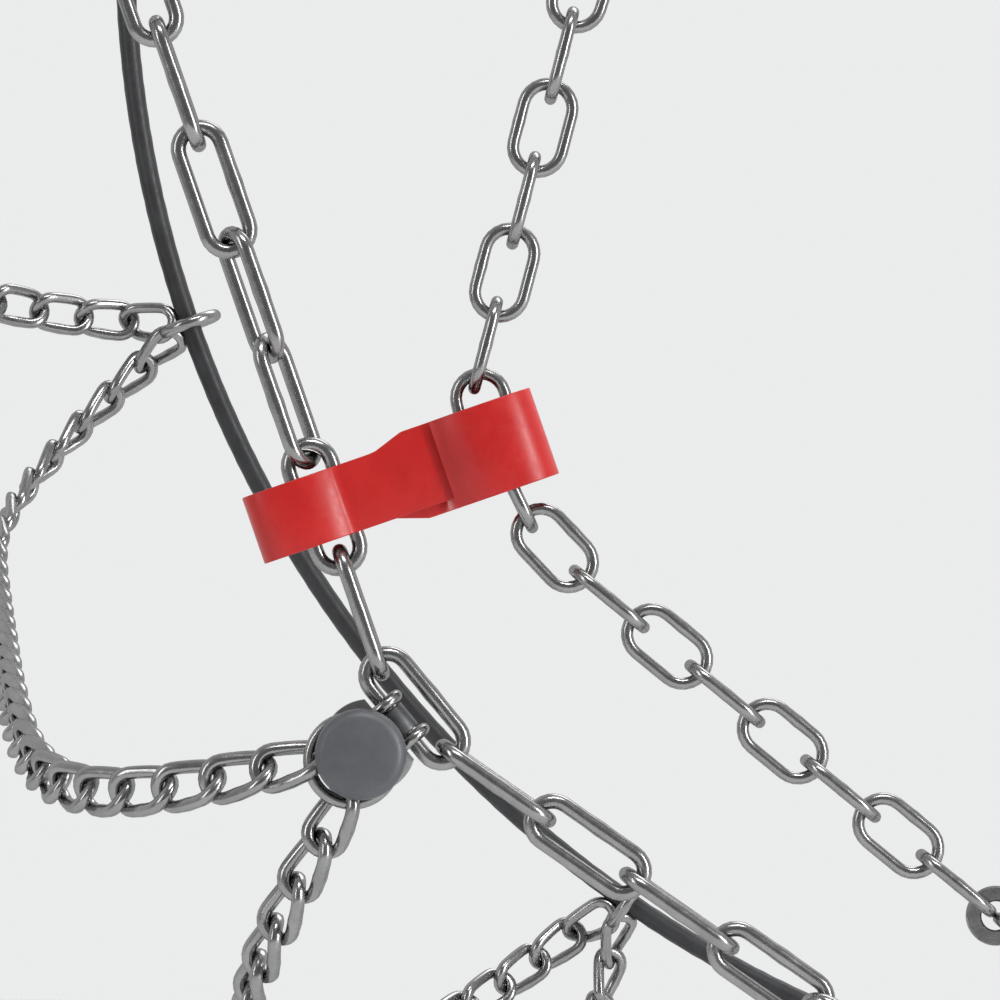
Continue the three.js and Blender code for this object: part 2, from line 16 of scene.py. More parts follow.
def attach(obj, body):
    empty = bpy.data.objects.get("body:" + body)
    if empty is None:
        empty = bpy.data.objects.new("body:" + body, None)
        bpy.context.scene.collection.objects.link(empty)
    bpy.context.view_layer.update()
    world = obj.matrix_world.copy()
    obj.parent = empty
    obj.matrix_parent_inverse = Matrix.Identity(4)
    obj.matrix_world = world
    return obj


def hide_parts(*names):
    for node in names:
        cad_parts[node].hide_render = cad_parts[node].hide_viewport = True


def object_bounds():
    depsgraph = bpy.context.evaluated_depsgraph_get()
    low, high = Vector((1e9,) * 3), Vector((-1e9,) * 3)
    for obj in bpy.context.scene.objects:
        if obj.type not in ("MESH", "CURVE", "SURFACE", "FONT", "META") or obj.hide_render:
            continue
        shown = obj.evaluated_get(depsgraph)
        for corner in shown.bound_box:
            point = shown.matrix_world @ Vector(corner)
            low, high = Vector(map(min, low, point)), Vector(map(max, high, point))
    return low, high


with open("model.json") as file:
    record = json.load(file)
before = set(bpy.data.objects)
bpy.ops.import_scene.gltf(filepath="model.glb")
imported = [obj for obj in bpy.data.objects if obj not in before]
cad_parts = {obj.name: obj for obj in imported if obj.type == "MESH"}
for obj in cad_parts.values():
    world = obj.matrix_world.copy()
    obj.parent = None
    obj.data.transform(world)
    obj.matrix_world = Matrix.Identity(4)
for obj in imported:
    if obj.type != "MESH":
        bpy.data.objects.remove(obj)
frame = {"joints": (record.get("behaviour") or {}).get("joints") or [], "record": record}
cad_low, cad_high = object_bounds()

# ---- driving dimensions, in millimetres ----------------------------------------------------------
MM = 0.001
SIDE = {"wire": 3.0, "inner": 21.8, "slack": 0.3, "half_width": 4.2}
TENSION = {"wire": 2.4, "inner": 14.8, "slack": 0.4, "half_width": 4.75}
TREAD = {"wire": 2.5, "inner": 11.3, "slack": 0.6, "half_width": 3.75, "twist": -60, "squareness": 2.7}
END_HOOK = {"wire": 4.0, "inner": 24, "slack": 0.8, "half_width": 6.5}
TREAD_ROLL = 35  # degrees about a tread link's own axis, and how far each side's strand differs from it
TREAD_LEAN = 8
SHOULDER_LEAN = 0.75  # share by which a strand's first and last links face sideways
LEAN_STEP = 0.15  # how much of that share each further link loses
END_STEPS = 12
ROD_STEPS = 6
WIRE_SIDES = 14
WELD = {"swell": 0.08, "length": 1.1}

JUNCTIONS = 10
SIDE_Y = -119
LONG_ROLLS = [90, 0, 90, 0, 60, 120, 0, 90]
SHORT_ROLLS = [90, 0, 90, 0, 60, 120]
LINKS_BEFORE = 6
LINKS_AFTER = 4
STRAND_LINKS = 3

CONNECTOR_OFFSET = 13.3
CAP = {"radius": 8.75, "thickness": 3.2, "edge": 2.3, "front": 129.2, "dome": 0.3}
PLATE = {"radius": 9.05, "centre": -1.9, "flat": -7.0, "thickness": 1.4, "back": 118.9}
RIVET = {"radius": 2.5, "head_radius": 4.0, "head_thickness": 1.0}
EYE = {"radius": 3.1, "wire": 2.2, "spacing": 4.15, "mouth": -62}
EYE_TAIL = {"bend": 4.2, "bend_lift": 0.4, "flat_from": 5.5, "length": 8.5}
STRAP = {"width": 5.4, "thickness": 1.1, "root": 4.6, "bend": 3.0, "bend_lift": 0.35, "curl": (55, 250)}
RING = {"radius": 8.2, "wire": 2.4, "offset": 2.2, "height": 122.8, "slack": 0.2}

BAND = {
    "thickness": 1.1, "narrow": 13.4, "wide": 17.5, "outer_end": -14.4, "crease": 3.8, "rear_crease": 10.5,
    "flap": 24.4, "inner_end": 44.8, "flare_from": 12.4, "flare_to": 18.5, "reach": 35.0,
    "side_bulge": 6.0, "tension_bulge": 7.6,
}
BAND_INDICES = [-2, -23, -44]
ANCHOR_INDEX = 9
HOOK_INDEX = 14
WASHER = {"radius": 5.75, "hole": 2.8, "thickness": 1.5, "to_next_link": 2.7}

TREAD_PROFILE = [
    (298, 122.4), (312, 118.5), (325, 112), (336, 102), (343.5, 88), (347, 70), (348, 36), (348, 0),
]
STRAND_START_ANGLE = 1.0
STRAND_BOW = 0.8
RING_LEAD = 0.035  # share of a strand after which it lies on the tyre, from a ring and from a separate link
LINK_LEAD = 0.015
CABLE_RING = {"radius": 6.5, "wire": 3.0}
CABLE_RING_SPREAD = 0.35
CABLE = {"radius": 285, "y": 117, "thickness": 5.0, "strands": 6, "lay": 26}
SLEEVE = {"inner": 3.4, "outer": 5.5, "length": 30, "angle": 88, "crimp": 0.45}
CRIMPS = (-9.5, -3.2, 3.2, 9.5)  # along the sleeve

OUTWARD = np.array([0.0, -1.0, 0.0])
GAP = 0.3

# ---- camera, lights and floor, in metres and radians
CAMERA_AT = (-0.2094, -1.0022, -0.1368)
CAMERA_TARGET = (-0.19553, -0.110, -0.13824)
CAMERA_LENS = 165.35  # millimetres, on a sensor 36 mm wide
CAMERA_ROLL = 0.0127
LIT_MIDDLE = (-0.05, -0.11, -0.05)
LIGHTS = [  # name, place, width and height, watts
    ("right_strip", (1.6, -1.3, 0.2), (0.28, 1.6), 30),
    ("front_top_softbox", (0.1, -1.3, 2.1), (1.3, 0.3), 26),
    ("left_strip", (-1.9, -1.3, 0.5), (0.25, 1.4), 9),
    ("back_softbox", (0.6, 1.4, 2.0), (1.6, 1.0), 22),
]
FLOOR_HALF = 0.9
FLOOR_GAP = 0.001


# ---- places and directions -----------------------------------------------------------------------
def unit(vector):
    vector = np.asarray(vector, float)
    return vector / np.linalg.norm(vector)


def polar(angle, radius, y):
    return np.array([radius * math.cos(math.radians(angle)), y, radius * math.sin(math.radians(angle))])


def heading(angle):
    return polar(angle, 1, 0)


def pitch_of(link):
    return link["inner"] - link["slack"]


def reach_of(link):
    return (link["inner"] + link["wire"]) / 2


def frame_along(centre, along, up, roll=0.0):
    """Origin and axes: x runs along a piece, and z is turned from `up` by `roll` degrees about x."""
    x = unit(along)
    y = unit(np.cross(up, x))
    z = np.cross(x, y)
    c, s = math.cos(math.radians(roll)), math.sin(math.radians(roll))
    return np.asarray(centre, float), np.array([x, c * y + s * z, c * z - s * y])


def put(points, place):
    origin, axes = place
    return origin + np.asarray(points, float) @ axes


JOINTS = {joint["name"]: joint for joint in frame["joints"]}
BODY_OF = {node: body for body, nodes in frame["record"]["behaviour"]["bodies"].items() for node in nodes}


def pivot(joint):
    return np.array(JOINTS[joint]["pos_m"]) / MM


def axis(joint):
    return unit(JOINTS[joint]["axis"])


def junction_angle(junction):
    """Each connector's tilt joint lies on its side link's outer rod, so it gives the junction's angle."""
    turns, index = divmod(junction, JUNCTIONS)
    at = pivot(f"connector_{index + 1}_tilt")
    first = pivot("connector_1_tilt")
    start = math.degrees(math.atan2(first[2], first[0])) % 360
    angle = math.degrees(math.atan2(at[2], at[0])) % 360
    return start + (angle - start) % 360 + 360 * turns


FIRST_ROD = pivot("connector_1_tilt")
SIDE_RADIUS = math.hypot(FIRST_ROD[0], FIRST_ROD[2]) - SIDE["half_width"]


# ---- shapes: vertices, faces, how rubbed each vertex is, and a material number -------------------
def shape(vertices, faces, rub=None, material=0):
    vertices = np.asarray(vertices, float).reshape(-1, 3)
    rub = np.zeros(len(vertices)) if rub is None else rub
    return {"vertices": vertices, "faces": faces, "rub": rub, "material": material}


def moved(part, place):
    return {**part, "vertices": put(part["vertices"], place)}


def painted(part, material):
    return {**part, "material": material}


def grid_faces(rings, sides, closed):
    """Quads between each ring of points and the next, wound so that they face out."""
    ring = np.arange(rings if closed else rings - 1)[:, None]
    side = np.arange(sides)[None, :]
    after = (ring + 1) % rings
    beside = (side + 1) % sides
    quads = [ring * sides + side, ring * sides + beside, after * sides + beside, after * sides + side]
    return np.stack(quads, -1).reshape(-1, 4).tolist()


def closed_ends(rings, sides):
    return [list(range(sides))[::-1], list(range((rings - 1) * sides, rings * sides))]


def path_frames(path, closed, first_normal):
    """Tangent, normal and third axis at each point of a path, with as little twist as it allows."""
    if closed:
        tangents = np.roll(path, -1, axis=0) - np.roll(path, 1, axis=0)
    else:
        tangents = np.gradient(path, axis=0)
    tangents /= np.linalg.norm(tangents, axis=1)[:, None]
    normals = [unit(first_normal - tangents[0] * np.dot(first_normal, tangents[0]))]
    for tangent in tangents[1:]:
        normals.append(unit(normals[-1] - tangent * np.dot(normals[-1], tangent)))
    normals = np.array(normals)
    if closed:
        back = unit(normals[-1] - tangents[0] * np.dot(normals[-1], tangents[0]))
        third = np.cross(tangents[0], normals[0])
        left_over = math.atan2(np.dot(back, third), np.dot(back, normals[0]))
        turn = -left_over * np.arange(len(path)) / len(path)
        thirds = np.cross(tangents, normals)
        normals = np.cos(turn)[:, None] * normals + np.sin(turn)[:, None] * thirds
    return tangents, normals, np.cross(tangents, normals)


def tube(path, radius, sides=WIRE_SIDES, closed=True, squareness=2.0, first_normal=(0, 0, 1)):
    """A wire along a path. `radius` may vary by point and round the wire; squareness 2 is a round wire."""
    path = np.asarray(path, float)
    _, normals, thirds = path_frames(path, closed, np.asarray(first_normal, float))
    around = 2 * np.pi * np.arange(sides) / sides
    c, s = np.cos(around), np.sin(around)
    bulge = (np.abs(c) ** squareness + np.abs(s) ** squareness) ** (-1 / squareness)
    reach = np.broadcast_to(np.asarray(radius, float), (len(path), sides)) * bulge
    offsets = (reach * c)[..., None] * normals[:, None] + (reach * s)[..., None] * thirds[:, None]
    vertices = (path[:, None] + offsets).reshape(-1, 3)
    faces = grid_faces(len(path), sides, closed)
    if not closed:
        faces += closed_ends(len(path), sides)
    return shape(vertices, faces)


def rod(start, end, radius, rounding=0.35, sides=WIRE_SIDES):
    """A straight rod with rounded ends."""
    start, end = np.asarray(start, float), np.asarray(end, float)
    along = unit(end - start)
    steps = [(0, 1 - rounding), (rounding * radius * 0.35, 1 - rounding * 0.35), (rounding * radius, 1)]
    path = [start + along * depth for depth, _ in steps] + [end - along * depth for depth, _ in steps[::-1]]
    shares = [share for _, share in steps] + [share for _, share in steps[::-1]]
    normal = np.cross(along, [0.3, 0.5, 0.8])
    return tube(path, radius * np.array(shares)[:, None], sides, closed=False, first_normal=normal)


def ring(radius, wire, steps=48, sides=WIRE_SIDES):
    """A round ring of wire about the local z axis."""
    around = 2 * np.pi * np.arange(steps) / steps
    path = np.column_stack([radius * np.cos(around), radius * np.sin(around), np.zeros(steps)])
    return tube(path, wire / 2, sides)


def turned(profile, steps=64, closed=False):
    """A piece turned about the local z axis, from radius and height pairs."""
    profile = np.asarray(profile, float)
    around = 2 * np.pi * np.arange(steps) / steps
    x = np.outer(np.cos(around), profile[:, 0])
    y = np.outer(np.sin(around), profile[:, 0])
    z = np.broadcast_to(profile[:, 1], x.shape)
    count = len(profile)
    if closed:
        faces = grid_faces(steps, count, True)
    else:
        faces = [
            [i * count + j, i * count + j + 1, (i + 1) % steps * count + j + 1, (i + 1) % steps * count + j]
            for i in range(steps)
            for j in range(count - 1)
        ]
    return shape(np.stack([x, y, z], -1).reshape(-1, 3), faces)


def arc(centre, radius, start, end, steps):
    """Points of an arc in two dimensions, with angles in degrees."""
    angles = np.radians(np.linspace(start, end, steps + 1))
    return [(centre[0] + radius * math.cos(a), centre[1] + radius * math.sin(a)) for a in angles]


def slab(outline, bottom, top, bevel):
    """A flat plate of a given outline, with bevelled edges."""
    outline = np.asarray(outline, float)
    ahead = np.roll(outline, -1, axis=0) - np.roll(outline, 1, axis=0)
    inward = np.column_stack([-ahead[:, 1], ahead[:, 0]]) / np.linalg.norm(ahead, axis=1)[:, None]
    levels = [(bevel, bottom), (0.3 * bevel, bottom + 0.3 * bevel), (0, bottom + bevel)]
    levels += [(0, top - bevel), (0.3 * bevel, top - 0.3 * bevel), (bevel, top)]
    rings = [np.column_stack([outline + inward * inset, np.full(len(outline), z)]) for inset, z in levels]
    faces = grid_faces(len(rings), len(outline), False) + closed_ends(len(rings), len(outline))
    return shape(np.concatenate(rings), faces)


def bezier(points, steps):
    """Points along a Bezier curve of any order."""
    points = [np.asarray(point, float) for point in points]
    order = len(points) - 1
    t = np.linspace(0, 1, steps + 1)[:, None]
    return sum(
        math.comb(order, i) * (1 - t) ** (order - i) * t**i * point for i, point in enumerate(points)
    )


# ---- chain links ---------------------------------------------------------------------------------
def link_path(link):
    """The middle line of a link's wire: two straight rods and two round ends, with an optional twist."""
    reach, half = reach_of(link), link["half_width"]
    straight = reach - half
    turn = np.linspace(-np.pi / 2, np.pi / 2, END_STEPS + 1)
    end = np.column_stack([straight + half * np.cos(turn), half * np.sin(turn)])
    middle = np.linspace(straight, -straight, ROD_STEPS + 1)[1:-1]
    side = np.concatenate([end, np.column_stack([middle, np.full(len(middle), half)])])
    loop = np.concatenate([side, -side])
    angle = math.radians(link.get("twist", 0)) / 2 * loop[:, 0] / reach
    return np.column_stack([loop[:, 0], loop[:, 1] * np.cos(angle), loop[:, 1] * np.sin(angle)])


def link_shape(link):
    """One link, with the swelling of its weld on one rod, and rubbed inside its two ends."""
    path = link_path(link)
    radius = link["wire"] / 2
    on_weld_rod = path[:, 1] > 0
    weld = WELD["swell"] * np.exp(-((path[:, 0] / WELD["length"]) ** 2)) * on_weld_rod
    part = tube(path, (radius * (1 + weld))[:, None], squareness=link.get("squareness", 2.0))
    centres = np.repeat(path, WIRE_SIDES, axis=0)
    straight = reach_of(link) - link["half_width"]
    into_end = np.clip((np.abs(centres[:, 0]) - straight) / link["half_width"], 0, 1)
    inner_side = np.clip(-np.sign(centres[:, 0]) * (part["vertices"] - centres)[:, 0] / radius, 0, 1)
    part["rub"] = into_end * inner_side
    return part


SIDE_LINK = link_shape(SIDE)
TENSION_LINK = link_shape(TENSION)
TREAD_LINK = link_shape(TREAD)


# ---- outer side chain ----------------------------------------------------------------------------
def corner_link(junction):
    angle = junction_angle(junction)
    return polar(angle, SIDE_RADIUS, SIDE_Y), heading(angle + 90), 0


def sector_links(junction):
    """Side links of one sector: the junction's own link, then the straight run to the next junction."""
    first, last = corner_link(junction), corner_link(junction + 1)
    half = pitch_of(SIDE) / 2
    start, end = first[0] + first[1] * half, last[0] - last[1] * half
    rolls = LONG_ROLLS if junction % 2 else SHORT_ROLLS
    shares = [(index + 0.5) / len(rolls) for index in range(len(rolls))]
    along = unit(end - start)
    return [first] + [(start + (end - start) * share, along, roll) for share, roll in zip(shares, rolls)]


SIDE_LINKS = [link for junction in range(JUNCTIONS) for link in sector_links(junction)]


def side_link_place(index):
    centre, along, roll = SIDE_LINKS[index % len(SIDE_LINKS)]
    return frame_along(centre, along, OUTWARD, roll)


def make_side_chain():
    for index in range(-LINKS_BEFORE, LINKS_AFTER + 1):
        node = f"side_chain_link_{index + LINKS_BEFORE + 1:02d}"
        add_piece(node, [moved(SIDE_LINK, side_link_place(index))], [steel])
    far = range(LINKS_AFTER + 1, len(SIDE_LINKS) - LINKS_BEFORE)
    run = [moved(SIDE_LINK, side_link_place(index)) for index in far]
    add_piece("side_chain_far_run", run, [steel])


# ---- junction connectors -------------------------------------------------------------------------
def connector_place(junction):
    """Local frame of a connector: x outwards from the axle, z away from the wheel, under the cap's middle."""
    angle = junction_angle(junction)
    return frame_along(polar(angle, SIDE_RADIUS + CONNECTOR_OFFSET, 0), heading(angle), OUTWARD)


def cap_shape():
    front, radius, edge = CAP["front"], CAP["radius"], CAP["edge"]
    back = front - CAP["thickness"]
    lip = 0.35
    dome = [(r, front - CAP["dome"] * (r / (radius - edge)) ** 2) for r in np.linspace(0, radius - edge, 7)]
    rim = arc((radius - edge, front - CAP["dome"] - edge), edge, 80, 0, 8)
    skirt = [(radius, back + lip), (radius - lip * 0.3, back + lip * 0.3), (radius - lip, back)]
    hollow = back + 0.5
    under = [(radius - 1.6, back), (radius - 1.9, hollow), (RIVET["radius"] + 1.2, hollow), (0, hollow)]
    return turned((dome + rim + skirt + under)[::-1], 96)


def plate_outline():
    """A round plate with its middle a little towards the side chain, cut flat where the chain's rod lies."""
    radius, centre, flat = PLATE["radius"], PLATE["centre"], PLATE["flat"]
    limit = math.degrees(math.acos((flat - centre) / radius))
    return arc((centre, 0), radius, -limit, limit, 56)


def plate_shape():
    return slab(plate_outline(), PLATE["back"], PLATE["back"] + PLATE["thickness"], 0.3)


def eye_shapes():
    """Two wire hooks round the junction link's outer rod, whose tails lie on the plate under the cap."""
    rod_at = SIDE["half_width"] - CONNECTOR_OFFSET
    height = PLATE["back"] + PLATE["thickness"] + EYE["wire"] / 2 - 0.2
    centre_height = -SIDE_Y
    parts = []
    for side in (-1, 1):
        lift = height - centre_height
        start = math.degrees(math.asin(lift / EYE["radius"]))
        loop = arc((rod_at, centre_height), EYE["radius"], EYE["mouth"], start - 360, 22)
        bend = (rod_at + EYE_TAIL["bend"], height + EYE_TAIL["bend_lift"])
        flat_from = (rod_at + EYE_TAIL["flat_from"], height)
        tail_end = (rod_at + EYE_TAIL["length"], height)
        tail = bezier([loop[-1], bend, flat_from, tail_end], 8)
        path = [(x, side * EYE["spacing"], z) for x, z in [*loop, *tail[1:]]]
        parts.append(tube(path, EYE["wire"] / 2, closed=False, first_normal=(0, 1, 0)))
    return parts


def strap_shape():
    """The plate's own tongue, which curls over the rod between the two hooks."""
    rod_at = SIDE["half_width"] - CONNECTOR_OFFSET
    bend = SIDE["wire"] / 2 + GAP + STRAP["thickness"] / 2
    start = (rod_at + STRAP["root"], PLATE["back"] + PLATE["thickness"] + STRAP["thickness"] / 2)
    over = arc((rod_at, -SIDE_Y), bend, *STRAP["curl"], 16)
    middle = [start, (rod_at + STRAP["bend"], start[1] + STRAP["bend_lift"]), *over]
    return strip_shape(middle, [(-STRAP["width"] / 2, STRAP["width"] / 2)] * len(middle), STRAP["thickness"])


def rivet_shape():
    foot = PLATE["back"] - GAP
    front = CAP["front"] - CAP["thickness"] + 0.3
    radius, head, thick = RIVET["radius"], RIVET["head_radius"], RIVET["head_thickness"]
    dome = [(head * math.sin(a), foot - thick * math.cos(a)) for a in np.linspace(0, math.pi / 2, 10)]
    return turned([*dome, (head - 0.1, foot), (radius, foot), (radius, front), (0, front)], 40)


def strand_ring_shape():
    place = np.array([RING["offset"], 0, RING["height"]]), np.eye(3)
    return moved(ring(RING["radius"], RING["wire"], 56), place)


def make_connectors():
    cap, plate, strap, rivet = cap_shape(), plate_shape(), strap_shape(), rivet_shape()
    eyes = eye_shapes()
    here = connector_place(0)
    add_piece("connector_1_cap", [moved(cap, here)], [grey_coat])
    # The tongue takes the plate material with painted shade.
    hook_plate = [moved(part, here) for part in (plate, *eyes)] + [painted(moved(strap, here), 1)]
    add_piece("connector_1_hook_plate", hook_plate, [steel, shaded_plate])
    add_piece("connector_1_rivet", [moved(rivet, here)], [steel])
    add_piece("connector_1_strand_ring", [moved(strand_ring_shape(), here)], [steel])
    for junction in range(1, JUNCTIONS):
        there = connector_place(junction)
        metal = [painted(moved(part, there), 1) for part in (plate, rivet, *eyes)]
        # Each tongue takes the plate material with painted shade.
        parts = [moved(cap, there), *metal, painted(moved(strap, there), 2)]
        add_piece(f"connector_{junction + 1}", parts, [grey_coat, steel, shaded_plate])


# ---- red guide bands -----------------------------------------------------------------------------
def strip_shape(middle, edges, thickness, bevel=0.22):
    """A strip that follows a line in the local x and z, with a lower and an upper edge in y at each point."""
    middle = np.asarray(middle, float)
    ahead = np.gradient(middle, axis=0)
    normal = np.column_stack([-ahead[:, 1], ahead[:, 0]]) / np.linalg.norm(ahead, axis=1)[:, None]
    half = thickness / 2
    corner = [(math.cos(a), math.sin(a)) for a in np.radians([90, 60, 30, 0])]
    rings = []
    for point, out, (low, high) in zip(middle, normal, edges):
        loop = [(half - bevel + bevel * s, high - bevel + bevel * c) for c, s in corner]
        loop += [(bevel - half - bevel * s, high - bevel + bevel * c) for c, s in corner[::-1]]
        loop += [(bevel - half - bevel * s, low + bevel - bevel * c) for c, s in corner]
        loop += [(half - bevel + bevel * s, low + bevel - bevel * c) for c, s in corner[::-1]]
        rings.append([(point[0] + out[0] * n, y, point[1] + out[1] * n) for n, y in loop])
    sides = 4 * len(corner)
    faces = grid_faces(len(rings), sides, False) + closed_ends(len(rings), sides)
    return shape(np.array(rings), faces)


def band_line():
    """The middle line of the strip, and its edges at each point. It runs from the flap's edge round the
    tensioning chain, back under the web, round the side link and along the web's front to under the flap."""
    thickness = BAND["thickness"]
    half = thickness / 2
    crease, flap, inner_end = BAND["crease"], BAND["flap"], BAND["inner_end"]
    outer_end = BAND["outer_end"] + half
    front = SIDE["wire"] / 2 + GAP + half
    rear = front - thickness
    behind = -SIDE["wire"] / 2 - GAP - half
    bulge = BAND["tension_bulge"] - half
    side_bulge = BAND["side_bulge"] - half
    loop_middle = (flap + inner_end) / 2
    end = inner_end - half
    lap = front + thickness
    pieces = [
        bezier([(flap, lap), (flap + 1.6, lap + 0.5), (flap + 4, bulge), (loop_middle, bulge)], 12),
        bezier([(loop_middle, bulge), (end - 3.5, bulge), (end, bulge * 0.62), (end, 0)], 10)[1:],
        bezier([(end, 0), (end, -bulge * 0.62), (end - 3.5, -bulge), (loop_middle, -bulge)], 10)[1:],
        bezier([(loop_middle, -bulge), (flap + 3, -bulge), (flap + 1, rear), (flap - 4, rear)], 12)[1:],
        bezier([(flap - 4, rear), (BAND["rear_crease"], rear)], 10)[1:],
        bezier([(BAND["rear_crease"], rear), (7.6, behind), (5.6, behind)], 6)[1:],
        bezier([(5.6, behind), (crease - 6, behind)], 3)[1:],
        bezier([(crease - 6, behind), (outer_end, behind), (outer_end, 0)], 8)[1:],
        bezier([(outer_end, 0), (outer_end, side_bulge * 0.75), (outer_end + 3, side_bulge),
                (outer_end + 8, side_bulge)], 10)[1:],
        bezier([(outer_end + 8, side_bulge), (crease - 4, side_bulge), (crease, front)], 10)[1:],
        bezier([(crease, front), (flap + 3.4, front)], 16)[1:],
    ]
    line = np.concatenate(pieces)
    front_starts = len(line) - len(pieces[-1]) - 1
    narrow, wide = BAND["narrow"] / 2, BAND["wide"] / 2
    share = np.clip((line[:, 0] - BAND["flare_from"]) / (BAND["flare_to"] - BAND["flare_from"]), 0, 1)
    high = narrow + (wide - narrow) * share
    low = -high
    low[front_starts:] = -narrow
    return line, list(zip(low, high))


def band_place(index):
    """Local frame of a band: x towards the wheel's middle, y towards the earlier side links, z outwards."""
    centre, along, _ = SIDE_LINKS[index % len(SIDE_LINKS)]
    return frame_along(centre, np.cross(OUTWARD, along), OUTWARD)


def band_point(index, x, y=0.0):
    return put([x, y, 0], band_place(index))


def make_bands():
    line, edges = band_line()
    strip = strip_shape(line, edges, BAND["thickness"])
    for number, index in enumerate(BAND_INDICES):
        band = moved(strip, band_place(index))
        add_piece(f"red_band_{number + 1}", [band], [red_plastic])


# ---- tensioning chain ----------------------------------------------------------------------------
def spaced(points, spacing_limit, odd):
    """Points at equal steps along a route, as far apart as the limit allows, an odd number if asked."""
    points = np.asarray(points, float)
    lengths = np.concatenate([[0], np.cumsum(np.linalg.norm(np.diff(points, axis=0), axis=1))])
    count = math.ceil(lengths[-1] / spacing_limit)
    if odd and count % 2 == 0:
        count += 1
    stops = np.linspace(0, lengths[-1], count + 1)
    return np.column_stack([np.interp(stops, lengths, points[:, k]) for k in range(3)])


def links_between(contacts, first_roll):
    """Tensioning links from each contact point to the next, every second one turned a quarter turn."""
    parts = []
    for index, (start, end) in enumerate(zip(contacts[:-1], contacts[1:])):
        roll = first_roll if index % 2 == 0 else 90 - first_roll
        parts.append(moved(TENSION_LINK, frame_along((start + end) / 2, end - start, OUTWARD, roll)))
    return parts


def washer_shape():
    radius, hole, half, bevel = WASHER["radius"], WASHER["hole"], WASHER["thickness"] / 2, 0.28
    section = [(hole + bevel, -half), (radius - bevel, -half), (radius, bevel - half), (radius, half - bevel)]
    section += [(radius - bevel, half), (hole + bevel, half), (hole, half - bevel), (hole, bevel - half)]
    return turned(section[::-1], 56, closed=True)


def end_hook_shape():
    """An oval wire hook, with a sprung gate of thinner wire in one of its long rods."""
    path = link_path(END_HOOK)
    half, straight = END_HOOK["half_width"], reach_of(END_HOOK) - END_HOOK["half_width"]
    hook = tube(path[: len(path) - ROD_STEPS + 1], END_HOOK["wire"] / 2, closed=False)
    gate = rod((straight + 1.2, -half, 0), (-straight - 0.6, -half, 0), END_HOOK["wire"] * 0.36)
    collar = rod((-straight + 2.6, -half, 0), (-straight - 1.4, -half, 0), END_HOOK["wire"] * 0.58)
    return [hook, gate, collar]


def make_tension_chain():
    for name in sorted(JOINTS):
        if name.startswith("tension_link_"):
            node = name.removesuffix("_roll")
            flat = int(node[-2:]) % 2 == 0
            place = frame_along(pivot(name), axis(name), OUTWARD, 0 if flat else 90)
            add_piece(node, [moved(TENSION_LINK, place)], [steel])
    washer_at, half = pivot("tension_washer_turn"), pitch_of(TENSION) / 2
    facing = frame_along(washer_at, axis("tension_link_15_roll"), OUTWARD)
    add_piece("tension_washer", [moved(washer_shape(), facing)], [steel])

    anchor = band_point(ANCHOR_INDEX, SIDE["half_width"] - SIDE["wire"] / 2)
    start = washer_at + unit(anchor - washer_at) * WASHER["to_next_link"]
    short = links_between(spaced([start, anchor], TENSION["inner"], True), 90)
    add_piece("tension_short_run", short, [steel])

    top = pivot("tension_link_01_roll") + axis("tension_link_01_roll") * half
    through = BAND["wide"] / 2 + 3
    guides = [band_point(index, BAND["reach"], y) for index in BAND_INDICES[1:] for y in (-through, through)]
    hook_centre = (pitch_of(END_HOOK) - SIDE["wire"]) / 2 - SIDE["half_width"]
    last = band_point(HOOK_INDEX, hook_centre + END_HOOK["inner"] / 2)
    long_run = links_between(spaced([top, *guides, last], TENSION["inner"], True), 0)
    add_piece("tension_long_run", long_run, [steel])

    hook_at = band_point(HOOK_INDEX, hook_centre)
    place = frame_along(hook_at, hook_at - last, OUTWARD, 90)
    add_piece("tension_end_hook", [moved(part, place) for part in end_hook_shape()], [steel])


# ---- tread net -----------------------------------------------------------------------------------
def smooth_line(points, steps):
    """A smooth line through points: each span is a cubic whose slopes follow the neighbours."""
    points = np.asarray(points, float)
    padded = np.concatenate([[2 * points[0] - points[1]], points, [2 * points[-1] - points[-2]]])
    line = []
    for a, b, c, d in zip(padded, padded[1:], padded[2:], padded[3:]):
        gaps = [math.sqrt(np.linalg.norm(q - p)) for p, q in ((a, b), (b, c), (c, d))]
        leave = (b - a) / gaps[0] - (c - a) / (gaps[0] + gaps[1]) + (c - b) / gaps[1]
        arrive = (c - b) / gaps[1] - (d - b) / (gaps[1] + gaps[2]) + (d - c) / gaps[2]
        leave, arrive = leave * gaps[1], arrive * gaps[1]
        for t in np.linspace(0, 1, steps, endpoint=False):
            cubic = 2 * t**3 - 3 * t**2
            line.append((cubic + 1) * b + (t**3 - 2 * t**2 + t) * leave - cubic * c + (t**3 - t**2) * arrive)
    return np.array([*line, points[-1]])


OUTER_HALF = [(radius, -away) for radius, away in TREAD_PROFILE]
INNER_HALF = [(radius, away) for radius, away in TREAD_PROFILE[-2::-1]]
PROFILE = smooth_line(OUTER_HALF + INNER_HALF, 24)
PROFILE_LENGTHS = np.concatenate([[0], np.cumsum(np.linalg.norm(np.diff(PROFILE, axis=0), axis=1))])


def strand_point(junction, side, fraction):
    """A point of the strand that crosses the tyre from a junction's ring to the cable's ring halfway to the
    junction before (side -1) or after it (side 1)."""
    middle = (junction_angle(junction) + junction_angle(junction + side)) / 2
    start = junction_angle(junction) + side * STRAND_START_ANGLE
    end = middle - side * STRAND_START_ANGLE
    bow = side * STRAND_BOW * math.sin(2 * math.pi * fraction)
    at = fraction * PROFILE_LENGTHS[-1]
    radius, y = (np.interp(at, PROFILE_LENGTHS, PROFILE[:, k]) for k in range(2))
    return polar(start + (end - start) * fraction + bow, radius, y)


def surface_normal(point):
    return unit([point[0], 0, point[2]])


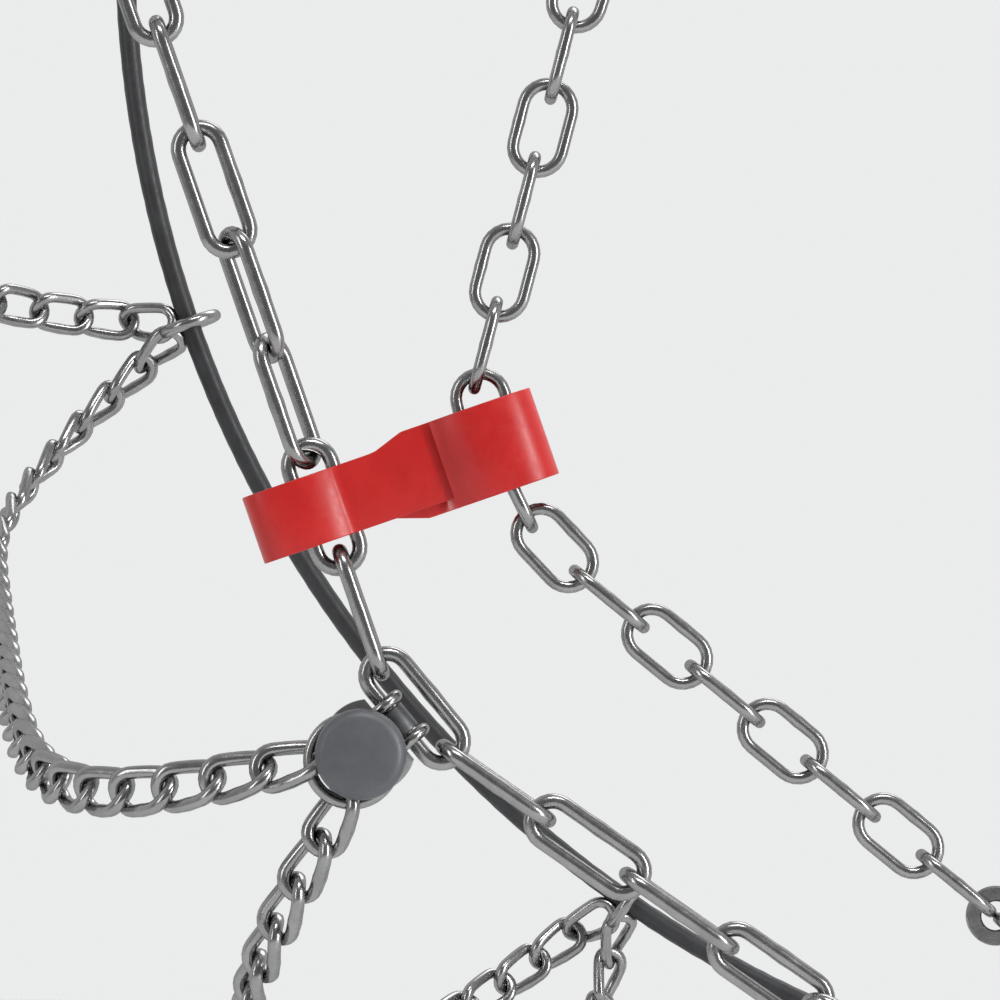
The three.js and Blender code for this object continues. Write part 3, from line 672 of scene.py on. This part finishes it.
def tread_links(contacts, side, first_index=0):
    """Twisted links from each contact point to the next, leaning over the tyre's shoulders at both ends."""
    parts = []
    for index, (start, end) in enumerate(zip(contacts[:-1], contacts[1:])):
        centre = (start + end) / 2
        face = -np.sign(centre[1])
        from_end = index + first_index if face > 0 else len(contacts) - 2 - index
        lean = max(SHOULDER_LEAN - from_end * LEAN_STEP, 0)
        up = unit(surface_normal(centre) * (1 - lean) + face * OUTWARD * lean)
        roll = TREAD_ROLL - side * TREAD_LEAN
        parts.append(moved(TREAD_LINK, frame_along(centre, end - start, up, roll)))
    return parts


def cable_ring_angle(junction):
    return (junction_angle(junction) + junction_angle(junction + 1)) / 2


def strand_line(junction, side, start, first_fraction):
    """The route of a strand from its first contact point to the ring on the inner cable."""
    line = [strand_point(junction, side, fraction) for fraction in np.linspace(first_fraction, 1, 120)]
    reach = CABLE["radius"] + CABLE_RING["radius"] - CABLE_RING["wire"] / 2
    ring_angle = cable_ring_angle(junction + (side - 1) // 2)
    return [start, *line, polar(ring_angle - side * CABLE_RING_SPREAD, reach, CABLE["y"])]


def strand_ring_centre(junction):
    return put([RING["offset"], 0, RING["height"]], connector_place(junction))


def whole_strand(junction, side):
    """A strand from the ring on the junction's connector."""
    centre = strand_ring_centre(junction)
    pull = unit(strand_point(junction, side, 0) - centre)
    start = centre + pull * (RING["radius"] - (RING["wire"] + RING["slack"]) / 2)
    contacts = spaced(strand_line(junction, side, start, RING_LEAD), TREAD["inner"], False)
    return tread_links(contacts, side)


def rest_of_detailed_strand(side):
    """The strand of the first junction past its separate links."""
    last = f"tread_link_{'upper' if side < 0 else 'lower'}_{STRAND_LINKS}_roll"
    start = pivot(last) + axis(last) * pitch_of(TREAD) / 2
    fractions = np.linspace(0, 0.5, 300)
    away = [np.linalg.norm(strand_point(0, side, fraction) - start) for fraction in fractions]
    here = fractions[int(np.argmin(away))]
    contacts = spaced(strand_line(0, side, start, here + LINK_LEAD), TREAD["inner"], False)
    return tread_links(contacts, side, STRAND_LINKS)


def cable_ring(junction):
    """The ring on the inner cable where the strands of a junction and the next one meet."""
    angle = cable_ring_angle(junction)
    place = frame_along(polar(angle, CABLE["radius"], CABLE["y"]), heading(angle), heading(angle + 90))
    return moved(ring(CABLE_RING["radius"], CABLE_RING["wire"], 40), place)


def make_tread_links():
    """The separate links of both detailed strands lie where their joints say."""
    for side, name in ((-1, "upper"), (1, "lower")):
        for index in range(STRAND_LINKS):
            node = f"tread_link_{name}_{index + 1}"
            centre, along = pivot(node + "_roll"), axis(node + "_roll")
            contacts = [centre - along * pitch_of(TREAD) / 2, centre + along * pitch_of(TREAD) / 2]
            add_piece(node, tread_links(contacts, side, index), [steel])


def make_tread_net():
    """Five parts, each with two junctions' strands. The first junction's strand back is in the last part."""
    for pair in range(JUNCTIONS // 2):
        parts = []
        for junction in (2 * pair, 2 * pair + 1):
            if junction:
                parts.append(moved(strand_ring_shape(), connector_place(junction)))
                parts += whole_strand(junction, -1) + whole_strand(junction, 1)
            else:
                parts += rest_of_detailed_strand(1)
            parts.append(cable_ring(junction))
        if pair == JUNCTIONS // 2 - 1:
            parts += rest_of_detailed_strand(-1)
        add_piece(f"tread_net_{pair + 1}", parts, [steel])


# ---- inner cable ---------------------------------------------------------------------------------
def make_inner_cable():
    """A sheathed cable whose strands show through the sheath as a shallow spiral, and its crimped coupler."""
    steps, sides = 720, 30
    around = 2 * np.pi * np.arange(steps) / steps
    radius = CABLE["radius"]
    plane = np.full(steps, float(CABLE["y"]))
    path = np.column_stack([radius * np.cos(around), plane, radius * np.sin(around)])
    turns = round(2 * math.pi * radius / CABLE["lay"])
    about_middle = 2 * np.pi * np.arange(sides)[None, :] / sides
    phase = CABLE["strands"] / 2 * about_middle + turns * around[:, None] * 3
    wall = CABLE["thickness"] / 2 - 0.16 * (1 - np.abs(np.sin(phase)))
    cable = tube(path, wall, sides, first_normal=(0, 1, 0))
    add_piece("inner_cable", [cable], [black_sheath])

    half, inner, outer = SLEEVE["length"] / 2, SLEEVE["inner"], SLEEVE["outer"]
    outside = []
    for z in np.linspace(-half + 0.5, half - 0.5, 61):
        crimp = sum(math.exp(-(((z - middle) / 2.0) ** 4)) for middle in CRIMPS)
        outside.append((outer - SLEEVE["crimp"] * crimp, z))
    section = [(inner, half), (outer - 0.5, half), *outside[::-1], (outer - 0.5, -half), (inner, -half)]
    place = frame_along(polar(SLEEVE["angle"], radius, CABLE["y"]), OUTWARD, heading(SLEEVE["angle"] + 90))
    sleeve = moved(turned(section, 48, closed=True), place)
    add_piece("inner_cable_coupler", [sleeve], [steel])


# ---- pieces in Blender ---------------------------------------------------------------------------
def add_piece(node, parts, materials):
    """One Blender piece from several shapes. It stands for the CAD node and rides on that node's body."""
    vertices, faces, rub, numbers, offset = [], [], [], [], 0
    for part in parts:
        vertices.append(part["vertices"] * MM)
        faces += [[index + offset for index in face] for face in part["faces"]]
        rub.append(part["rub"])
        numbers += [part["material"]] * len(part["faces"])
        offset += len(part["vertices"])
    mesh = bpy.data.meshes.new(f"{node}_fine")
    mesh.from_pydata(np.concatenate(vertices).tolist(), [], faces)
    for material in materials:
        mesh.materials.append(material)
    mesh.polygons.foreach_set("material_index", numbers)
    mesh.attributes.new("rub", "FLOAT", "POINT").data.foreach_set("value", np.concatenate(rub))
    clean_mesh(mesh)
    piece = bpy.data.objects.new(f"{node}_fine", mesh)
    bpy.context.scene.collection.objects.link(piece)
    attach(piece, BODY_OF[node])
    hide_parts(node)


def clean_mesh(mesh):
    """Merges the points that a turned piece has on its axis, turns faces outwards and marks hard edges."""
    work = bmesh.new()
    work.from_mesh(mesh)
    bmesh.ops.remove_doubles(work, verts=work.verts, dist=1e-7)
    bmesh.ops.recalc_face_normals(work, faces=work.faces)
    work.to_mesh(mesh)
    work.free()
    mesh.shade_smooth()
    mesh.set_sharp_from_angle(angle=math.radians(40))


# ---- materials -----------------------------------------------------------------------------------
def new_material(name):
    material = bpy.data.materials.new(name)
    material.use_nodes = True
    tree = material.node_tree
    tree.nodes.clear()
    output = tree.nodes.new("ShaderNodeOutputMaterial")
    surface = tree.nodes.new("ShaderNodeBsdfPrincipled")
    tree.links.new(surface.outputs["BSDF"], output.inputs["Surface"])
    return material, tree, surface


def noise(tree, scale, detail=3.0, roughness=0.55):
    """Noise in the piece's own coordinates. Scale is in features per metre."""
    place = tree.nodes.new("ShaderNodeTexCoord")
    texture = tree.nodes.new("ShaderNodeTexNoise")
    texture.inputs["Scale"].default_value = scale
    texture.inputs["Detail"].default_value = detail
    texture.inputs["Roughness"].default_value = roughness
    tree.links.new(place.outputs["Object"], texture.inputs["Vector"])
    return texture.outputs["Fac"]


def spread(tree, value, low, high, start=0.3, end=0.7):
    """Maps a value between start and end to low and high."""
    node = tree.nodes.new("ShaderNodeMapRange")
    for name, number in (("From Min", start), ("From Max", end), ("To Min", low), ("To Max", high)):
        node.inputs[name].default_value = number
    tree.links.new(value, node.inputs["Value"])
    return node.outputs["Result"]


def colours(tree, value, stops):
    """A colour ramp from position and colour pairs."""
    ramp = tree.nodes.new("ShaderNodeValToRGB")
    for index, (position, colour) in enumerate(stops):
        element = ramp.color_ramp.elements[index] if index < 2 else ramp.color_ramp.elements.new(position)
        element.position = position
        element.color = (*colour, 1)
    tree.links.new(value, ramp.inputs["Fac"])
    return ramp.outputs["Color"]


def bumps(tree, surface, layers):
    """Bump from heights, each with the depth in millimetres that its full range stands for."""
    last = None
    for height, depth in layers:
        bump = tree.nodes.new("ShaderNodeBump")
        bump.inputs["Strength"].default_value = 1.0
        bump.inputs["Distance"].default_value = depth * MM
        tree.links.new(height, bump.inputs["Height"])
        if last:
            tree.links.new(last, bump.inputs["Normal"])
        last = bump.outputs["Normal"]
    tree.links.new(last, surface.inputs["Normal"])


def rubbed(tree, value, amount):
    """Takes an amount away from a value where the piece is rubbed."""
    rub = tree.nodes.new("ShaderNodeAttribute")
    rub.attribute_name = "rub"
    scaled = tree.nodes.new("ShaderNodeMath")
    scaled.operation = "MULTIPLY_ADD"
    scaled.inputs[1].default_value = -amount
    tree.links.new(rub.outputs["Fac"], scaled.inputs[0])
    tree.links.new(value, scaled.inputs[2])
    return scaled.outputs["Value"]


def make_steel():
    """Zinc-plated steel wire: cloudy plating, small dents from tumbling, and polished where links rub."""
    material, tree, surface = new_material("zinc_plated_steel")
    surface.inputs["Metallic"].default_value = 1.0
    clouds = noise(tree, 210, 4)
    shades = [(0.3, (0.30, 0.30, 0.296)), (0.55, (0.35, 0.35, 0.348)), (0.75, (0.39, 0.388, 0.38))]
    tree.links.new(colours(tree, clouds, shades), surface.inputs["Base Color"])
    surface.inputs["Specular Tint"].default_value = (0.6, 0.6, 0.6, 1)
    patches = spread(tree, noise(tree, 620, 3), 0.21, 0.29)
    tree.links.new(rubbed(tree, patches, 0.08), surface.inputs["Roughness"])
    bumps(tree, surface, [(noise(tree, 300, 2), 0.008), (noise(tree, 1100, 2), 0.0008)])
    return material


def make_shaded_plate():
    """The pressed tongue: the same plating, rougher, with painted shade: its base colour is made dark to stand
    in for the shade it lies in.
    """
    material, tree, surface = new_material("plate_with_painted_shade")
    surface.inputs["Metallic"].default_value = 0.85
    # Painted shade: the plating's colour darkened for the shade the tongue lies in, not a darker finish.
    shades = [(0.3, (0.10, 0.102, 0.105)), (0.7, (0.15, 0.152, 0.155))]
    tree.links.new(colours(tree, noise(tree, 300, 4), shades), surface.inputs["Base Color"])
    tree.links.new(spread(tree, noise(tree, 900, 3), 0.4, 0.55), surface.inputs["Roughness"])
    bumps(tree, surface, [(noise(tree, 1500, 3), 0.01)])
    return material


def make_grey_coat():
    """Matte blue-grey coating with a fine orange peel."""
    material, tree, surface = new_material("grey_coating")
    surface.inputs["Metallic"].default_value = 0.35
    shades = [(0.3, (0.105, 0.110, 0.119)), (0.7, (0.128, 0.133, 0.142))]
    tree.links.new(colours(tree, noise(tree, 260, 4), shades), surface.inputs["Base Color"])
    tree.links.new(spread(tree, noise(tree, 1400, 3), 0.42, 0.54), surface.inputs["Roughness"])
    bumps(tree, surface, [(noise(tree, 1900, 2), 0.012), (noise(tree, 260, 2), 0.03)])
    return material


def make_red_plastic():
    """Semi-gloss moulded strap, with faint scuffs and a fine grain."""
    material, tree, surface = new_material("red_moulded_plastic")
    surface.inputs["Specular IOR Level"].default_value = 0.5
    shades = [(0.3, (0.47, 0.011, 0.010)), (0.7, (0.54, 0.016, 0.014))]
    tree.links.new(colours(tree, noise(tree, 120, 4), shades), surface.inputs["Base Color"])
    scuffs = spread(tree, noise(tree, 420, 5, 0.7), 0.3, 0.46, 0.35, 0.75)
    tree.links.new(scuffs, surface.inputs["Roughness"])
    bumps(tree, surface, [(noise(tree, 2600, 2), 0.006), (noise(tree, 90, 2), 0.08)])
    return material


def make_black_sheath():
    """Extruded black sheath over the cable."""
    material, tree, surface = new_material("black_sheath")
    shades = [(0.3, (0.018, 0.018, 0.020)), (0.7, (0.032, 0.033, 0.035))]
    tree.links.new(colours(tree, noise(tree, 180, 4), shades), surface.inputs["Base Color"])
    tree.links.new(spread(tree, noise(tree, 700, 4), 0.38, 0.55), surface.inputs["Roughness"])
    bumps(tree, surface, [(noise(tree, 1600, 2), 0.012)])
    return material


# ---- camera, lights and floor --------------------------------------------------------------------
def aim(obj, place, target):
    obj.location = place
    obj.rotation_mode = "QUATERNION"
    obj.rotation_quaternion = (Vector(target) - Vector(place)).to_track_quat("-Z", "Y")


def make_camera():
    camera = bpy.data.objects.new("camera", bpy.data.cameras.new("camera"))
    bpy.context.scene.collection.objects.link(camera)
    camera.data.sensor_width = 36
    camera.data.lens = CAMERA_LENS
    camera.data.clip_start = 0.01
    camera.data.clip_end = 50
    aim(camera, CAMERA_AT, CAMERA_TARGET)
    camera.rotation_quaternion @= Quaternion((0, 0, 1), CAMERA_ROLL)
    bpy.context.scene.camera = camera


def add_light(name, place, target, size, energy):
    light = bpy.data.objects.new(name, bpy.data.lights.new(name, "AREA"))
    bpy.context.scene.collection.objects.link(light)
    light.data.shape = "RECTANGLE"
    light.data.size, light.data.size_y = size
    light.data.energy = energy
    aim(light, place, target)


def make_studio():
    for name, place, size, watts in LIGHTS:
        add_light(name, place, LIT_MIDDLE, size, watts)

    world = bpy.data.worlds.new("pale_studio")
    world.use_nodes = True
    tree = world.node_tree
    place = tree.nodes.new("ShaderNodeTexCoord")
    split = tree.nodes.new("ShaderNodeSeparateXYZ")
    tree.links.new(place.outputs["Generated"], split.inputs["Vector"])
    depth = spread(tree, split.outputs["Y"], 0.0, 1.0, -0.5, 0.5)
    walls = colours(tree, depth, [(0.0, (0.20, 0.202, 0.205)), (1.0, (0.83, 0.835, 0.84))])
    tree.links.new(walls, tree.nodes["Background"].inputs["Color"])
    bpy.context.scene.world = world
    bpy.context.scene.view_settings.view_transform = "Standard"

    floor_mesh = bpy.data.meshes.new("floor")
    half, level = FLOOR_HALF, cad_low.z - FLOOR_GAP
    corners = [(-half, -half, level), (half, -half, level), (half, half, level), (-half, half, level)]
    floor_mesh.from_pydata(corners, [], [(0, 1, 2, 3)])
    floor = bpy.data.objects.new("floor", floor_mesh)
    bpy.context.scene.collection.objects.link(floor)
    material, tree, surface = new_material("pale_floor")
    tree.links.new(
        colours(tree, noise(tree, 6, 3), [(0.3, (0.77, 0.775, 0.78)), (0.7, (0.80, 0.80, 0.80))]),
        surface.inputs["Base Color"],
    )
    surface.inputs["Roughness"].default_value = 0.7
    floor_mesh.materials.append(material)


steel = make_steel()
shaded_plate = make_shaded_plate()
grey_coat = make_grey_coat()
red_plastic = make_red_plastic()
black_sheath = make_black_sheath()

make_camera()
make_side_chain()
make_connectors()
make_bands()
make_tension_chain()
make_tread_links()
make_tread_net()
make_inner_cable()
make_studio()
